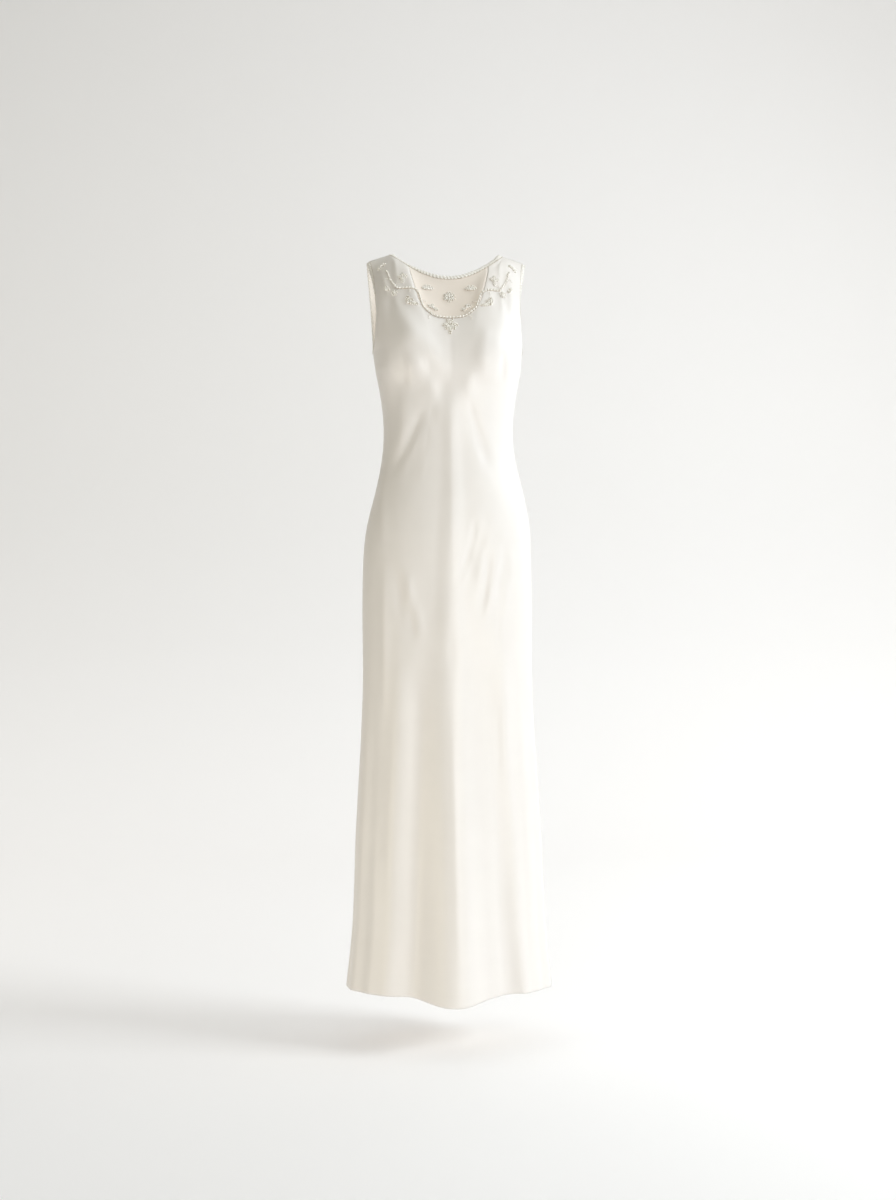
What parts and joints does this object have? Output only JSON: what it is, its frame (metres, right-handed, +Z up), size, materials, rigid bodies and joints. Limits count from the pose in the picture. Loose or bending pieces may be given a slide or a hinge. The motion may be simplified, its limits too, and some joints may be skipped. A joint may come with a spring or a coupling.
{
  "type": "column gown",
  "caption": "Sleeveless floor-length satin column gown with a boat neck, a sheer yoke, beaded floral trim and softly flared skirt, filled out as if worn.",
  "frame": {"origin": "on the shoulder line, midway between the two shoulder seams, where the wearer's shoulders hold the gown up", "axes": "+Z up, the front of the gown towards -Y, the wearer's left towards +X"},
  "size_m": [0.4193, 0.2824, 1.504],
  "materials": {
    "satin": "ivory satin with a soft sheen",
    "net": "ivory illusion net, matte and slightly see-through",
    "binding": "rolled ivory satin binding",
    "beads": "pearl and crystal beads"
  },
  "bodies": {
    "root": {"front": "satin", "back_left": "satin", "back_right": "satin", "yoke": "net", "neck_binding": "binding", "armhole_binding_left": "binding", "armhole_binding_right": "binding", "back_button": "binding", "back_loop": "binding", "vine_left": "beads", "vine_right": "beads", "drop": "beads", "rosette": "beads", "leaf_left": "beads", "leaf_right": "beads", "trefoil_left": "beads", "trefoil_right": "beads", "curl_left": "beads", "curl_right": "beads", "ring_flower_left": "beads", "ring_flower_right": "beads", "spray_left": "beads", "spray_right": "beads", "side_leaf_left": "beads", "side_leaf_right": "beads", "shoulder_leaf_left": "beads", "shoulder_leaf_right": "beads"}
  },
  "joints": []
}
